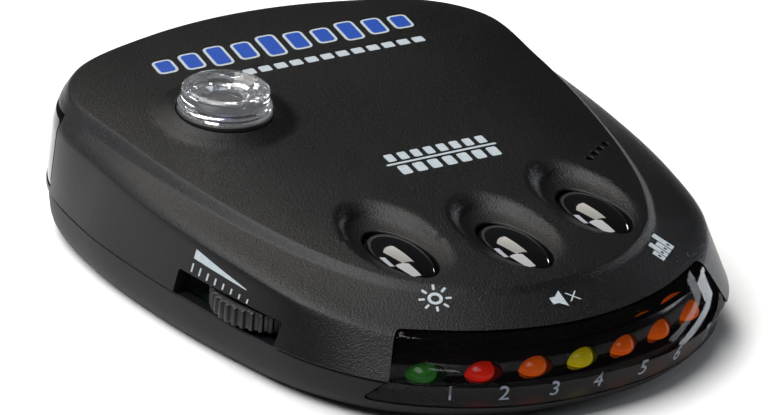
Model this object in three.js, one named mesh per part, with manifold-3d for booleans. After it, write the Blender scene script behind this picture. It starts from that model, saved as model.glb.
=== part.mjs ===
// Radar detector for a car windshield or dashboard.
// Millimetres, +Z up. +Y points forward, to the windshield; the driver's display is at the -Y end.
// The origin is at the centre of the underside, so the detector rests on z = 0.

import * as THREE from 'three';
import { mergeVertices } from 'three/addons/utils/BufferGeometryUtils.js';
import Module from 'manifold-3d';

// ---------------------------------------------------------------- driving dimensions

const LENGTH = 98.5;            // over the covers, along Y
const WIDTH = 82;               // over the covers, along X
const PART_Z = 7;               // height of the parting line between the covers
const WALL = 2;                 // wall thickness of both covers
const GAP = 0.3;                // clearance between neighbouring pieces
const RIM_OVERHANG = 0.35;      // how far the top cover's rim stands out over the bottom cover

const TOP_Z = 18.5;             // height of the plateau at y = 0
const TOP_SLOPE = 0.075;        // rise of the plateau per millimetre towards the windshield
const STEP_BACK = 2.1;          // height of the plateau's wall at the windshield end
const STEP_FRONT = 0.5;         // and at the display end
const CROWN = 1.2;              // how much higher the plateau's middle is than its edge
const CROWN_POWER = 4;          // how flat the crown is: it falls off mostly near the edge
const CROWN_SHARES = [0.9, 0.76, 0.55, 0.3];   // rings of the crowned surface, from edge to middle
const PLATEAU_MIDDLE_Y = 5;

const DOME = { x: -19.4, y: 18.3, lensRadius: 6.45, flangeRadius: 6.9, footRadius: 9.8, height: 4.9 };

const BUTTON = { length: 15.6, width: 7.6, proud: 0.1, crown: 2.4, gap: 0.35 };
const DISH = { side: 2.6, end: 3.3, height: 1.15, rise: 0.2 };   // the hollow round each button
const BUTTONS = [
  { name: 'dim', x: -16.2, y: -22.6 },
  { name: 'mute', x: 0, y: -26.6 },
  { name: 'city', x: 16.2, y: -22.6 },
];

const LED = { radius: 2.2, flange: 0.25, length: 4.5 };
const LED_FLATNESS = 0.68;      // the lights are ovals that lie flat
const LED_PITCH = 7.3;
const LED_COUNT = 7;
const LED_Z = 6.7;              // height of the lights' centres
const LED_FRONT_Y = -43;        // Y of the middle light
const LED_BOW = 0.0112;         // how the row of lights curves back to the sides
const LED_COLOURS = ['#3f8f3a', '#c02818', '#d06818', '#c8b018', '#d05818', '#d05818', '#d05818'];

const WINDOW = { lowHalfWidth: 29.8, highHalfWidth: 25.2, lowZ: 3.7, highZ: 12.5, backY: -33,
  thickness: 1.6 };
const RADOME = { fromY: 32, bottomZ: 8.2, topZ: 18.6, thickness: 1.5 };

const WHEEL = { x: -30.2, y: -13.6, radius: 9, thickness: 2.7, ribs: 40, ribDepth: 0.45 };
const WHEEL_Z = PART_Z + 0.5;
const SHAFT_RADIUS = 1.5;
const SHAFT_BOTTOM = 6.3;
const SLOT = { fromY: -23.6, toY: -3.2, height: 3.6 };

const BOARD_Z = 3.2;            // underside of the main board
const BOARD_THICKNESS = 1.6;
const BOARD_TOP = BOARD_Z + BOARD_THICKNESS;
const BOARD_INSET = 5.2;        // from the covers' rim to the board's edge
const SWITCH_TOP = BOARD_TOP + 3.8;
const PLUNGER_TOP = SWITCH_TOP + 1.2;
const PLUNGER_RADIUS = 1.75;
const RISER = { width: 5, length: 3, top: 17.3 };

const HORN = { x: 12, mouthY: 38.8, throatY: 16, mouthWidth: 32, throatWidth: 12, throatHeight: 7.2,
  bottomZ: 5.2, topZ: 15.6, wall: 1.2 };
const MIXER = { fromY: 1, toY: 10.2, width: 22, height: 7.2, wall: 0.8 };
const JACK = { faceX: 39.9, y: 2.6, z: 9.6, radius: 3.4, bore: 1.8, depth: 10, boreDepth: 7 };
const BUZZER = { x: 24.4, y: -7.6, radius: 5.5, height: 7 };
const CASE_POSTS = [[-32, 26], [32, -12.5], [-25.5, -29.5], [4.5, 43.4]];
const BOARD_POSTS = [[-26, 36], [-8, -6]];
const HORN_SCREWS = [[-3, 12], [27, 12]];
const SCREW_CLEARANCE = 1.2;
const CAPACITORS = [[-24, 2], [-18, 2], [-24, 9]];
const LASER = { x: -12, y: 38, z: 9.6 };
const SOUND_HOLES = [0, 1, 2, 3].map((i) => [23.5 + 1.7 * i, -10.9 + 1.1 * i]);
const SOUND_HOLE_RADIUS = 0.55;
const LABEL = { length: 24, width: 40, y: 24, depth: 0.4, gap: 0.4, thickness: 0.15 };

// Half outlines, from the middle of the display end round the +X side to the windshield end.
// The same index is the same place on the body in every one of them.
const RIM = [[0, -49.25], [14, -47.2], [27.4, -39.4], [34.6, -28.6], [38.3, -13], [40.5, 4],
  [40.9, 19.6], [38.2, 34], [30.8, 42.8], [16, 47.9], [0, 49.25]];
const SHOULDER = [[0, -45.3, 12.3], [13.2, -42.9, 12.3], [25.7, -35.7, 12.6], [33, -26, 14],
  [36.6, -12.6, 15.3], [38.7, 4, 16.1], [39, 19.8, 16.7], [38, 33.8, 17], [31, 42, 17.2],
  [16, 47.2, 17.4], [0, 48.7, 17.4]];
const BASE = [[0, -41.5], [11.6, -39.8], [23.6, -34], [31, -24.8], [35.4, -11.4], [37.8, 4],
  [38, 19.8], [35.4, 32.6], [28.6, 40.4], [14.8, 45.2], [0, 46.4]];
const FOOT = [[0, -38.2], [11.4, -36.2], [21.4, -29.8], [27, -21.4], [31, -10.8], [34.6, 4.6],
  [36.6, 19.8], [37, 33.4], [31, 41.2], [16.1, 46.4], [0, 48.2]];
const TOP_INSET = 1.1;          // from the plateau's foot to its top edge
// The lower edge is rounded: how far out each height has come, from the base to the rim.
const BASE_ROUND = [[0, 0], [1, 0.5], [3.2, 0.86]];

const half = (list) => list.map(([x, y, z = 0]) => new THREE.Vector3(x, y, z));

// ---------------------------------------------------------------- solids

const wasm = await Module();
wasm.setup();

function toManifold(geometry) {
  const bare = geometry.index ? geometry.toNonIndexed() : geometry.clone();
  bare.deleteAttribute('normal');
  bare.deleteAttribute('uv');
  const merged = mergeVertices(bare, 1e-4);
  return new wasm.Manifold(new wasm.Mesh({
    numProp: 3,
    vertProperties: merged.attributes.position.array,
    triVerts: new Uint32Array(merged.index.array),
  }));
}

function toGeometry(manifold) {
  const mesh = manifold.getMesh();
  const geometry = new THREE.BufferGeometry();
  geometry.setAttribute('position', new THREE.BufferAttribute(mesh.vertProperties, 3));
  geometry.setIndex(new THREE.BufferAttribute(mesh.triVerts, 1));
  return geometry;
}

const cut = (body, ...tools) =>
  toGeometry(tools.reduce((left, tool) => left.subtract(toManifold(tool)), toManifold(body)));
const join = (body, ...others) =>
  toGeometry(others.reduce((sum, other) => sum.add(toManifold(other)), toManifold(body)));
const common = (first, second) => toGeometry(toManifold(first).intersect(toManifold(second)));
const at = (geometry, x, y, z) => geometry.translate(x, y, z);

function box(width, length, height, x, y, bottom) {
  return at(new THREE.BoxGeometry(width, length, height), x, y, bottom + height / 2);
}

function cylinder(radius, height, x, y, bottom, segments = 24) {
  const upright = new THREE.CylinderGeometry(radius, radius, height, segments).rotateX(Math.PI / 2);
  return at(upright, x, y, bottom + height / 2);
}

// A turned piece: its profile is a list of [radius, height] that starts and ends on the axis.
function turned(profile, x, y, z, segments = 32) {
  const points = profile.map(([radius, height]) => new THREE.Vector2(radius, height));
  return at(new THREE.LatheGeometry(points, segments).rotateX(Math.PI / 2), x, y, z);
}

function ovalShape(length, width, segments = 24) {
  const shape = new THREE.Shape();
  for (let i = 0; i < segments; i += 1) {
    const angle = (2 * Math.PI * i) / segments;
    const x = (width / 2) * Math.cos(angle);
    const y = (length / 2) * Math.sin(angle);
    if (i === 0) shape.moveTo(x, y);
    else shape.lineTo(x, y);
  }
  shape.closePath();
  return shape;
}

function extruded(shape, depth, x, y, z) {
  return at(new THREE.ExtrudeGeometry(shape, { depth, bevelEnabled: false }), x, y, z);
}

// ---------------------------------------------------------------- outlines

const RING = 60;                // points round the body

const topHeight = (y) => TOP_Z + TOP_SLOPE * y;

function footHeight(y) {
  const share = THREE.MathUtils.clamp((y + LENGTH / 2) / LENGTH, 0, 1);
  return topHeight(y) - THREE.MathUtils.lerp(STEP_FRONT, STEP_BACK, share);
}

// The closed outline of a half outline and its mirror image, as RING points anticlockwise.
function ring(points, height) {
  const right = half(points);
  const left = right.slice(1, -1).reverse().map((p) => new THREE.Vector3(-p.x, p.y, p.z));
  const curve = new THREE.CatmullRomCurve3([...right, ...left], true, 'centripetal');
  return Array.from({ length: RING }, (_, i) => {
    const p = curve.getPoint(i / RING);
    return new THREE.Vector3(p.x, p.y, height === undefined ? p.z : height(p));
  });
}

// Moves a ring inwards along its own normals, in plan.
function inset(points, distance) {
  return points.map((p, i) => {
    const before = points[(i + RING - 1) % RING];
    const after = points[(i + 1) % RING];
    const along = new THREE.Vector2(after.x - before.x, after.y - before.y).normalize();
    return new THREE.Vector3(p.x - along.y * distance, p.y + along.x * distance, p.z);
  });
}

const lifted = (points, rise) => points.map((p) => new THREE.Vector3(p.x, p.y, p.z + rise));
const level = (points, z) => points.map((p) => new THREE.Vector3(p.x, p.y, z));

// A closed solid through rings from the lowest to the highest, with a fan over each end.
function lofted(rings) {
  const all = rings.flat();
  const middle = (list) => {
    const sum = list.reduce((total, p) => total.add(p), new THREE.Vector3());
    return sum.divideScalar(list.length);
  };
  const lowest = all.push(middle(rings[0])) - 1;
  const highest = all.push(middle(rings.at(-1))) - 1;
  const index = [];
  for (let i = 0; i < RING; i += 1) {
    const j = (i + 1) % RING;
    for (let k = 0; k < rings.length - 1; k += 1) {
      const low = k * RING;
      const high = low + RING;
      index.push(low + i, low + j, high + j, low + i, high + j, high + i);
    }
    const last = (rings.length - 1) * RING;
    index.push(lowest, j, i, highest, last + i, last + j);
  }
  const geometry = new THREE.BufferGeometry().setFromPoints(all);
  geometry.setIndex(index);
  return geometry;
}

const base = ring(BASE, () => 0);
const rim = ring(RIM, () => PART_Z);
const shoulder = ring(SHOULDER);
const foot = ring(FOOT, (p) => footHeight(p.y));
const plateau = inset(foot, TOP_INSET).map((p) => new THREE.Vector3(p.x, p.y, topHeight(p.y)));

// How far out from the plateau's middle a point is, as a share of the way to the plateau's edge.
function plateauShare(x, y) {
  const out = new THREE.Vector2(x, y - PLATEAU_MIDDLE_Y);
  const cross = (a, b) => a.x * b.y - a.y * b.x;
  const shares = plateau.map((p, i) => {
    const next = plateau[(i + 1) % RING];
    const from = new THREE.Vector2(p.x, p.y - PLATEAU_MIDDLE_Y);
    const along = new THREE.Vector2(next.x - p.x, next.y - p.y);
    return { before: cross(from, out), after: cross(from.clone().add(along), out),
      share: cross(out, along) / cross(from, along) };
  });
  return shares.find(({ before, after }) => before <= 0 && after >= 0)?.share ?? 0;
}

const surfaceHeight = (x, y) =>
  topHeight(y) + CROWN * (1 - Math.min(plateauShare(x, y), 1) ** CROWN_POWER);

// The crowned top of the plateau: rings towards its middle.
const crownRings = CROWN_SHARES.map((share) => plateau.map((p) => {
  const y = PLATEAU_MIDDLE_Y + (p.y - PLATEAU_MIDDLE_Y) * share;
  return new THREE.Vector3(p.x * share, y, topHeight(y) + CROWN * (1 - share ** CROWN_POWER));
}));

// The rim seen from above at a height between the parting line and the shoulder.
function wallRing(share) {
  return rim.map((p, i) => p.clone().lerp(shoulder[i], share));
}

// ---------------------------------------------------------------- covers

const outerTop = () =>
  lofted([inset(rim, -RIM_OVERHANG), wallRing(0.5), shoulder, foot, plateau, ...crownRings]);

function innerTop() {
  const inner = (points) => inset(lifted(points, -WALL), WALL);
  return lofted([level(inset(rim, WALL), PART_Z - 1), inset(wallRing(0.5), WALL),
    inner(shoulder), inner(foot), inner(plateau), ...crownRings.map((r) => lifted(r, -WALL))]);
}

const lowRing = ([z, share]) => level(base.map((p, i) => p.clone().lerp(rim[i], share)), z);

function outerBottom() {
  return lofted([...BASE_ROUND.map(lowRing), rim]);
}

const innerBottom = () => lofted([level(inset(rim, 4.6), WALL), level(inset(rim, WALL + 0.8), 4),
  level(inset(rim, WALL), PART_Z + 1)]);

// The space in front of the body that the display window fills: it is wider at the foot.
function windowSpace(grow) {
  const { lowHalfWidth, highHalfWidth, lowZ, highZ, backY } = WINDOW;
  const low = lowHalfWidth + grow;
  const high = highHalfWidth + grow;
  const shape = new THREE.Shape();
  shape.moveTo(-low, lowZ - grow).lineTo(low, lowZ - grow);
  shape.lineTo(high, highZ + grow).lineTo(-high, highZ + grow);
  shape.closePath();
  const depth = LENGTH / 2 + backY + grow + 5;
  const prism = new THREE.ExtrudeGeometry(shape, { depth, bevelEnabled: false });
  return at(prism.rotateX(Math.PI / 2), 0, backY + grow, 0);
}

// The same round the windshield end, for the radome.
function radomeSpace(grow) {
  const { fromY, bottomZ, topZ } = RADOME;
  return box(WIDTH + 20, LENGTH, topZ - bottomZ + 2 * grow, 0, fromY - grow + LENGTH / 2, bottomZ - grow);
}

// The outer skin of the body from the rounded base to the plateau's foot, as a thin shell.
function skin(thickness) {
  const rings = [lowRing(BASE_ROUND[2]), rim, wallRing(0.5), shoulder, foot];
  return cut(lofted(rings), lofted(rings.map((points) => inset(points, thickness))));
}

function wheelSlot() {
  const length = SLOT.toY - SLOT.fromY;
  return box(14, length, SLOT.height + 1, -40, (SLOT.toY + SLOT.fromY) / 2, PART_Z - 1);
}

const jackSpace = () =>
  at(new THREE.CylinderGeometry(JACK.radius + GAP, JACK.radius + GAP, 12, 24).rotateZ(Math.PI / 2),
    38, JACK.y, JACK.z);

const domeZ = surfaceHeight(DOME.x, DOME.y);

function domePedestal() {
  const { footRadius, flangeRadius } = DOME;
  return turned([[0, -1.6], [footRadius, -1.6], [footRadius, 0.1], [flangeRadius + 1.2, 0.5],
    [flangeRadius + 0.5, 1.2], [0, 1.2]], DOME.x, DOME.y, domeZ);
}

function buttonWell({ x, y }) {
  const { length, width, gap } = BUTTON;
  const top = surfaceHeight(x, y);
  const hole = extruded(ovalShape(length + 2 * gap, width + 2 * gap), 12, x, y, top - 8);
  const dish = new THREE.SphereGeometry(1, 24, 10);
  dish.scale(width / 2 + DISH.side, length / 2 + DISH.end, DISH.height);
  return [hole, at(dish, x, y, top + DISH.rise)];
}

function topCover() {
  const post = ([x, y]) => common(outerTop(), cylinder(2.6, TOP_Z, x, y, PART_Z + 1, 16));
  const holes = SOUND_HOLES.map(([x, y]) =>
    cylinder(SOUND_HOLE_RADIUS, 10, x, y, surfaceHeight(x, y) - 5, 8));
  const shell = cut(outerTop(), innerTop());
  const withPosts = join(shell, ...CASE_POSTS.map(post));
  return cut(
    join(withPosts, domePedestal()),
    cylinder(DOME.flangeRadius - 1.1, 8, DOME.x, DOME.y, domeZ - 5, 32),
    cylinder(DOME.flangeRadius + GAP, 2, DOME.x, DOME.y, domeZ + 0.6, 32),
    ...CASE_POSTS.map(([x, y]) => cylinder(1.2, 7, x, y, 7, 16)),
    ...BUTTONS.flatMap(buttonWell),
    ...holes,
    windowSpace(GAP),
    radomeSpace(GAP),
    wheelSlot(),
    jackSpace(),
  );
}

function bottomCover() {
  const post = ([x, y]) => cylinder(3, 6, x, y, 1);
  const shell = cut(outerBottom(), innerBottom());
  const bores = CASE_POSTS.flatMap(([x, y]) => [
    cylinder(1.4, 12, x, y, -1, 16),
    cylinder(2.5, 3.2, x, y, -1, 20),
  ]);
  const standoffs = BOARD_POSTS.map(([x, y]) => cylinder(2.2, BOARD_Z - 1.05, x, y, 1, 16));
  const pilots = BOARD_POSTS.map(([x, y]) => cylinder(0.9, 3, x, y, 1.4, 12));
  return cut(
    join(shell, ...CASE_POSTS.map(post), ...standoffs),
    ...bores,
    ...pilots,
    box(LABEL.width, LABEL.length, LABEL.depth + 1, 0, LABEL.y, -1),
    windowSpace(GAP),
    jackSpace(),
  );
}

const displayWindow = () => common(skin(WINDOW.thickness), windowSpace(0));
const radome = () => common(skin(RADOME.thickness), radomeSpace(0));

// ---------------------------------------------------------------- dome

function domeLens() {
  const { lensRadius: r, flangeRadius, height } = DOME;
  return turned([[0, 1.9], [r - 2.4, 1.9], [r - 2.4, 1.7], [flangeRadius, 1.7], [flangeRadius, 2.5],
    [r, 2.6], [r, height - 0.9], [r - 0.25, height - 0.35], [r - 0.8, height], [r - 1.6, height],
    [0.6, 3.1], [0, 3.1]], DOME.x, DOME.y, domeZ);
}

function domeCollar() {
  const { flangeRadius: r } = DOME;
  return turned([[r - 2.2, 0.9], [r, 0.9], [r, 1.5], [r - 2.2, 1.5], [r - 2.2, 0.9]],
    DOME.x, DOME.y, domeZ);
}

const sensorRiser = () =>
  box(RISER.width, RISER.length, RISER.top - BOARD_TOP - GAP, DOME.x, DOME.y, BOARD_TOP + GAP);

const domeSensor = () => turned([[0, 0], [2, 0], [2, 1.4], [1.2, 2.4], [0, 2.7]],
  DOME.x, DOME.y, RISER.top + GAP, 20);

// ---------------------------------------------------------------- buttons and switches

function buttonCap({ x, y }) {
  const { length, width, proud, crown } = BUTTON;
  const top = surfaceHeight(x, y);
  const under = top - WALL - 1.2;
  const bottom = PLUNGER_TOP + GAP;
  const dome = new THREE.SphereGeometry(1, 24, 12).scale(0.62 * width, 0.56 * length, crown);
  const body = extruded(ovalShape(length, width), 6, x, y, under - 0.4);
  const cap = common(body, at(dome, x, y, top + proud - crown));
  const flange = extruded(ovalShape(length - 4, width + 1.8), 0.8, x, y, under - 0.8);
  const collar = extruded(ovalShape(length, width), 1.9, x, y, under - 0.4);
  return join(cap, flange, collar, box(3, 3, under - bottom, x, y, bottom));
}

const switchBody = ({ x, y }) => cut(
  box(6, 6, 3.5, x, y, BOARD_TOP + GAP),
  cylinder(PLUNGER_RADIUS + GAP, 3, x, y, SWITCH_TOP - 2, 20),
);

const switchPlunger = ({ x, y }) => cylinder(PLUNGER_RADIUS, 2.2, x, y, PLUNGER_TOP - 2.2, 20);

// ---------------------------------------------------------------- lights

function ledPlaces() {
  const middle = (LED_COUNT - 1) / 2;
  return Array.from({ length: LED_COUNT }, (_, i) => {
    const x = (i - middle) * LED_PITCH;
    return [x, LED_FRONT_Y + LED_BOW * x * x];
  });
}

// A light lies on its side: oval lens towards the driver, base flange behind.
function ledLens([x, y]) {
  const { radius, flange, length } = LED;
  const lens = turned([[0, 0], [radius + flange, 0], [radius + flange, 0.8], [radius, 0.8],
    [radius, 1.6], [radius * 0.93, 2.5], [radius * 0.72, 3.5], [radius * 0.4, 4.2], [0, length]],
  0, 0, 0, 20);
  return lens.rotateX(Math.PI / 2).scale(1, 1, LED_FLATNESS).translate(x, y + 2.2, LED_Z);
}

function ledHolder() {
  const bars = ledPlaces().map(([x, y]) => box(LED_PITCH - 0.2, 1.4, 4.4, x, y + 3.4, BOARD_TOP + GAP));
  const links = ledPlaces().slice(1).map(([x, y], i) => {
    const [lastX, lastY] = ledPlaces()[i];
    return box(1.2, 2.2, 4.4, (x + lastX) / 2, (y + lastY) / 2 + 3.4, BOARD_TOP + GAP);
  });
  return join(bars[0], ...bars.slice(1), ...links);
}

// ---------------------------------------------------------------- volume control

function volumeWheel() {
  const { x, y, radius, thickness, ribs, ribDepth } = WHEEL;
  const shape = new THREE.Shape();
  const steps = ribs * 4;
  for (let i = 0; i < steps; i += 1) {
    const angle = (2 * Math.PI * i) / steps;
    const r = i % 4 < 2 ? radius : radius - ribDepth;
    if (i === 0) shape.moveTo(r * Math.cos(angle), r * Math.sin(angle));
    else shape.lineTo(r * Math.cos(angle), r * Math.sin(angle));
  }
  shape.closePath();
  return cut(extruded(shape, thickness, x, y, WHEEL_Z),
    cylinder(SHAFT_RADIUS + GAP, 6, x, y, WHEEL_Z - 1, 20));
}

const volumeShaft = () => cylinder(SHAFT_RADIUS, WHEEL_Z + WHEEL.thickness - SHAFT_BOTTOM,
  WHEEL.x, WHEEL.y, SHAFT_BOTTOM, 20);

const wheelScrew = () => turned([[0, 0], [2.1, 0], [2.1, 0.7], [1.5, 1.1], [0, 1.1]],
  WHEEL.x, WHEEL.y, WHEEL_Z + WHEEL.thickness + GAP, 20);

const volumeControl = () => cut(
  cylinder(4.5, 2.2, WHEEL.x, WHEEL.y, BOARD_TOP + GAP, 24),
  cylinder(SHAFT_RADIUS + GAP, 3, WHEEL.x, WHEEL.y, SHAFT_BOTTOM - GAP, 20),
);

// ---------------------------------------------------------------- boards and antenna

function mainBoard() {
  const outline = inset(rim, BOARD_INSET);
  const slab = lofted([level(outline, BOARD_Z), level(outline, BOARD_TOP)]);
  return cut(
    slab,
    ...CASE_POSTS.map(([x, y]) => cylinder(3.6, 6, x, y, 1, 20)),
    ...[...BOARD_POSTS, ...HORN_SCREWS].map(([x, y]) => cylinder(SCREW_CLEARANCE, 6, x, y, 1, 16)),
    ...ledPlaces().map(([x, y]) => box(LED_PITCH + 0.4, 12, 4, x, y - 3.5, BOARD_Z - 1)),
  );
}

// A flared box that narrows from the mouth to the throat, with room inside for the waves.
function flare(shrink, extra) {
  const { x, mouthY, throatY, mouthWidth, throatWidth, throatHeight, bottomZ, topZ } = HORN;
  const middle = (bottomZ + topZ) / 2;
  const mouth = { w: mouthWidth / 2 - shrink, h: (topZ - bottomZ) / 2 - shrink };
  const throat = { w: throatWidth / 2 - shrink, h: throatHeight / 2 - shrink };
  const corners = (size, y) => [[-1, -1], [1, -1], [1, 1], [-1, 1]].map(([sx, sz]) =>
    new THREE.Vector3(x + sx * size.w, y, middle + sz * size.h));
  const points = [...corners(throat, throatY - extra), ...corners(mouth, mouthY + extra)];
  const geometry = new THREE.BufferGeometry().setFromPoints(points);
  geometry.setIndex([0, 1, 2, 0, 2, 3, 4, 6, 5, 4, 7, 6, 0, 5, 1, 0, 4, 5,
    1, 6, 2, 1, 5, 6, 2, 7, 3, 2, 6, 7, 3, 4, 0, 3, 7, 4]);
  return geometry;
}

function hornAntenna() {
  const lugs = HORN_SCREWS.map(([x, y]) => box(8, 6, 1.6, x, y, BOARD_TOP + GAP));
  const plate = box(24, 5, 8.6, HORN.x, 14.2, BOARD_TOP + GAP);
  return cut(
    join(flare(0, 0), plate, ...lugs),
    flare(HORN.wall, 0.01),
    box(9, 12, 4, HORN.x, 14, 8.4),
    ...HORN_SCREWS.map(([x, y]) => cylinder(SCREW_CLEARANCE, 8, x, y, 3, 16)),
  );
}

const mixerBoard = () => box(MIXER.width, 0.8, 8, HORN.x, MIXER.toY + GAP + 0.4, BOARD_TOP + GAP);

// A lidded tray on its side, open towards the mixer board.
function mixerCover() {
  const { fromY, toY, width, height, wall } = MIXER;
  const bottom = BOARD_TOP + GAP;
  const middleY = (fromY + toY) / 2;
  return cut(
    box(width, toY - fromY, height, HORN.x, middleY, bottom),
    box(width - 2 * wall, toY - fromY, height - 2 * wall, HORN.x, middleY + wall, bottom + wall),
  );
}

const buzzer = () => cut(
  cylinder(BUZZER.radius, BUZZER.height, BUZZER.x, BUZZER.y, BOARD_TOP + GAP, 32),
  cylinder(1.1, 3, BUZZER.x, BUZZER.y, BOARD_TOP + BUZZER.height - 1, 16),
);

const controller = () => box(10, 10, 1.6, -8, 4, BOARD_TOP + GAP);
const amplifier = () => box(6, 4.4, 1.5, 12, -14, BOARD_TOP + GAP);

const capacitor = ([x, y]) => turned([[0, 0], [2.5, 0], [2.5, 0.9], [2.3, 1.1], [2.5, 1.3], [2.5, 6],
  [2.2, 6.3], [0, 6.3]], x, y, BOARD_TOP + GAP, 20);

// ---------------------------------------------------------------- windshield-side laser sensor

const laserSensor = () => box(6, 3, 6, LASER.x, LASER.y, BOARD_TOP + GAP);

const laserLens = () => turned([[0, 0], [4, 0], [4, 1.2], [3, 2.1], [1.6, 2.6], [0, 2.8]], 0, 0, 0, 24)
  .rotateX(-Math.PI / 2).translate(LASER.x, LASER.y + 1.5 + GAP, LASER.z);

// ---------------------------------------------------------------- power socket

function powerSocket() {
  const { faceX, y, z, radius, bore, depth, boreDepth } = JACK;
  const barrel = new THREE.CylinderGeometry(radius, radius, depth, 24).rotateZ(Math.PI / 2);
  const hole = new THREE.CylinderGeometry(bore, bore, 2 * boreDepth, 20).rotateZ(Math.PI / 2);
  return cut(at(barrel, faceX - depth / 2, y, z), at(hole, faceX, y, z));
}

// ---------------------------------------------------------------- screws and label

const screw = (x, y, z, head, shank, length) => turned([[0, 0], [head, 0], [head, 0.9], [shank, 1.3],
  [shank, length - 0.8], [0.2, length], [0, length]], x, y, z, 16);

const caseScrew = ([x, y]) => cut(
  screw(x, y, 1.0, 2.1, 0.9, 11),
  box(0.6, 2.6, 1, x, y, 0.6),
  box(2.6, 0.6, 1, x, y, 0.6),
);

// Board and horn screws go in from above, so they are turned over.
const boardScrew = ([x, y]) =>
  screw(x, y, 0, 1.9, 0.6, 3.8).rotateX(Math.PI).translate(0, 2 * y, BOARD_TOP + GAP + 1.2);

const hornScrew = ([x, y]) =>
  screw(x, y, 0, 1.9, 0.8, 4.4).rotateX(Math.PI).translate(0, 2 * y, BOARD_TOP + 2 * GAP + 2.8);

const ratingLabel = () => box(LABEL.width - 2 * LABEL.gap, LABEL.length - 2 * LABEL.gap,
  LABEL.thickness, 0, LABEL.y, LABEL.depth - GAP);

// ---------------------------------------------------------------- assembly

const group = new THREE.Group();

function add(name, geometry, color, roughness = 0.6, metalness = 0) {
  const clean = geometry.index ? geometry : mergeVertices(geometry);
  clean.computeVertexNormals();
  const mesh = new THREE.Mesh(clean, new THREE.MeshStandardMaterial({ color, roughness, metalness }));
  mesh.name = name;
  group.add(mesh);
}

// One node for each place in the list, named after the piece and numbered from 1.
function addEach(name, places, shape, color, roughness, metalness) {
  places.forEach((place, i) => add(`${name}_${i + 1}`, shape(place), color, roughness, metalness));
}

const BLACK = '#1c1d1f';

add('top_cover', topCover(), BLACK, 0.75);
add('bottom_cover', bottomCover(), '#232528', 0.6);
add('display_window', displayWindow(), '#1a0f0d', 0.08);
add('radome', radome(), '#101114', 0.12);
add('dome_lens', domeLens(), '#cfd3d6', 0.05);
add('dome_collar', domeCollar(), '#0d0d0e', 0.5);
add('sensor_riser', sensorRiser(), '#1f5c3a', 0.6);
add('dome_sensor', domeSensor(), '#1b1b22', 0.15);

BUTTONS.forEach((button) => {
  add(`${button.name}_button`, buttonCap(button), '#0a0a0b', 0.08);
  add(`${button.name}_plunger`, switchPlunger(button), '#c8c4b4', 0.5);
  add(`${button.name}_switch`, switchBody(button), '#2a2a2c', 0.5);
});

ledPlaces().forEach((place, i) => add(`led_${i + 1}`, ledLens(place), LED_COLOURS[i], 0.15));
add('led_holder', ledHolder(), '#151516', 0.7);

add('volume_wheel', volumeWheel(), '#161617', 0.6);
add('volume_shaft', volumeShaft(), '#b8b6ae', 0.4, 0.8);
add('wheel_screw', wheelScrew(), '#a8a9ac', 0.35, 1);
add('volume_control', volumeControl(), '#3b2c1e', 0.6);

add('main_board', mainBoard(), '#1e5a38', 0.5);
add('horn_antenna', hornAntenna(), '#b4b5b8', 0.4, 1);
add('mixer_board', mixerBoard(), '#d6d2c2', 0.5);
add('mixer_cover', mixerCover(), '#c4c5c8', 0.35, 1);
add('buzzer', buzzer(), '#161616', 0.4);
add('controller_chip', controller(), '#1a1a1c', 0.45);
add('amplifier_chip', amplifier(), '#1a1a1c', 0.45);
addEach('capacitor', CAPACITORS, capacitor, '#26304a', 0.35, 0);
add('laser_sensor', laserSensor(), '#202024', 0.4);
add('laser_lens', laserLens(), '#5a1414', 0.08);
add('power_socket', powerSocket(), '#131314', 0.5);
addEach('case_screw', CASE_POSTS, caseScrew, '#55565a', 0.35, 1);
addEach('board_screw', BOARD_POSTS, boardScrew, '#8d8e92', 0.35, 1);
addEach('horn_screw', HORN_SCREWS, hornScrew, '#8d8e92', 0.35, 1);
add('rating_label', ratingLabel(), '#c9cacb', 0.45);

export default group;
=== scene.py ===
import itertools
import math

import bpy
import numpy as np
from mathutils import Matrix, Vector
from mathutils.bvhtree import BVHTree
from mathutils.geometry import delaunay_2d_cdt


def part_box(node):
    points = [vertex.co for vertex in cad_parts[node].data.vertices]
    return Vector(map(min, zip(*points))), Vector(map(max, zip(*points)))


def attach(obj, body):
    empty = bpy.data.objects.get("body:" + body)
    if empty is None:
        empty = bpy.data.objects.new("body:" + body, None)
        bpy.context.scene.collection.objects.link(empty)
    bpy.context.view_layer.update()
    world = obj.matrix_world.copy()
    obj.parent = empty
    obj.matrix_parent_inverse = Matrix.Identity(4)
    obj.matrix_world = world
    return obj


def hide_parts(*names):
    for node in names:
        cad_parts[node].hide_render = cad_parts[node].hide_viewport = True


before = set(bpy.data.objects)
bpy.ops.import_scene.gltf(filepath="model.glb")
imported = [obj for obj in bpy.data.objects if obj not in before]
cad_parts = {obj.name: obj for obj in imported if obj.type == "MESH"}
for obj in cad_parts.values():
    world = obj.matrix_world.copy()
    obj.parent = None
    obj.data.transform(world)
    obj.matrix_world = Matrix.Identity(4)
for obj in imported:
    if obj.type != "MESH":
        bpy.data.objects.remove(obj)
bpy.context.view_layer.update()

# Lengths below are in millimetres, in the part's frame, unless a name says otherwise.
MM = 0.001

# ---- dimensions of the body

LENGTH = 98.5
PART_Z = 7.0                # height of the parting line between the covers
WALL = 2.0
GAP = 0.3
RIM_OVERHANG = 0.35
TOP_Z = 18.5                # height of the plateau's edge at y = 0
TOP_SLOPE = 0.075
STEP_BACK = 2.1             # height of the plateau's wall at the windshield end
STEP_FRONT = 0.5            # and at the display end
TOP_INSET = 1.1
CROWN = 1.2                 # how much higher the plateau's middle is than its edge
CROWN_POWER = 4
MIDDLE_Y = 5.0
EDGE_SHARE = 0.984          # the crown's surface is filled from here inwards
SAMPLES = 18                # points between two points of an outline

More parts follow.
